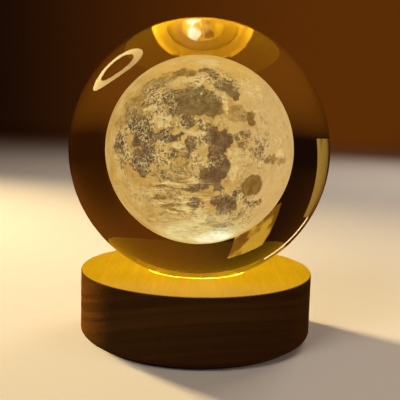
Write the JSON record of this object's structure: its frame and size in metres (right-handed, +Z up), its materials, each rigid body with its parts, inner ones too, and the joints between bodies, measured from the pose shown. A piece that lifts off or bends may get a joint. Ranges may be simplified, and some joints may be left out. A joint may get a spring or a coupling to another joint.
{
  "type": "moon lamp",
  "caption": "Table lamp: a clear glass ball with a moon engraved inside it, resting loose on a low round wooden base that lights it from below.",
  "frame": {"origin": "centre of the base's rest face, at the underside of the foot pad", "axes": "+Z up through the middle of the ball, -Y to the front of the lamp and the moon's face, +Y to the power inlet at the back"},
  "size_m": [0.08, 0.08, 0.0981],
  "materials": {
    "clear_glass": "polished solid glass",
    "engraved_glass": "frosted by engraved dots inside the glass, lit warm",
    "clear_silicone": "soft, half clear",
    "wood": "turned, oiled, satin",
    "clear_plastic": "clear",
    "white_board": "white solder mask on aluminium",
    "white_plastic": "matt",
    "led_light": "clear yellow gel",
    "black_ceramic": "satin",
    "screw_steel": "zinc plated",
    "solder": "bright",
    "red_insulation": "smooth",
    "black_insulation": "smooth",
    "green_board": "solder mask",
    "shell_steel": "nickel plated",
    "black_plastic": "fine moulded texture",
    "foot_rubber": "matt foam"
  },
  "bodies": {
    "base": {"wood_base": "wood", "clear_window": "clear_plastic", "led_board": "white_board", "led_bodies": "white_plastic", "led_light_spots": "led_light", "led_resistors": "black_ceramic", "led_board_screws": "screw_steel", "solder_joints": "solder", "lead_positive": "red_insulation", "lead_negative": "black_insulation", "inlet_board": "green_board", "inlet_shell": "shell_steel", "inlet_tongue": "black_plastic", "inlet_resistors": "black_ceramic", "inlet_board_screws": "screw_steel", "bottom_cover": "black_plastic", "cover_screws": "screw_steel", "foot_pad": "foot_rubber"},
    "ring": {"seat_ring": "clear_silicone"},
    "ball": {"crystal_ball": "clear_glass", "engraved_moon": "engraved_glass"}
  },
  "joints": [
    {"name": "lift", "type": "slide", "parent": "base", "child": "ring", "axis": [0, 0, 1], "range_m": [0, 0.06]},
    {"name": "turn", "type": "hinge", "parent": "ring", "child": "ball", "pos_m": [0, 0, 0.05808], "axis": [0, 0, 1], "continuous": true}
  ]
}
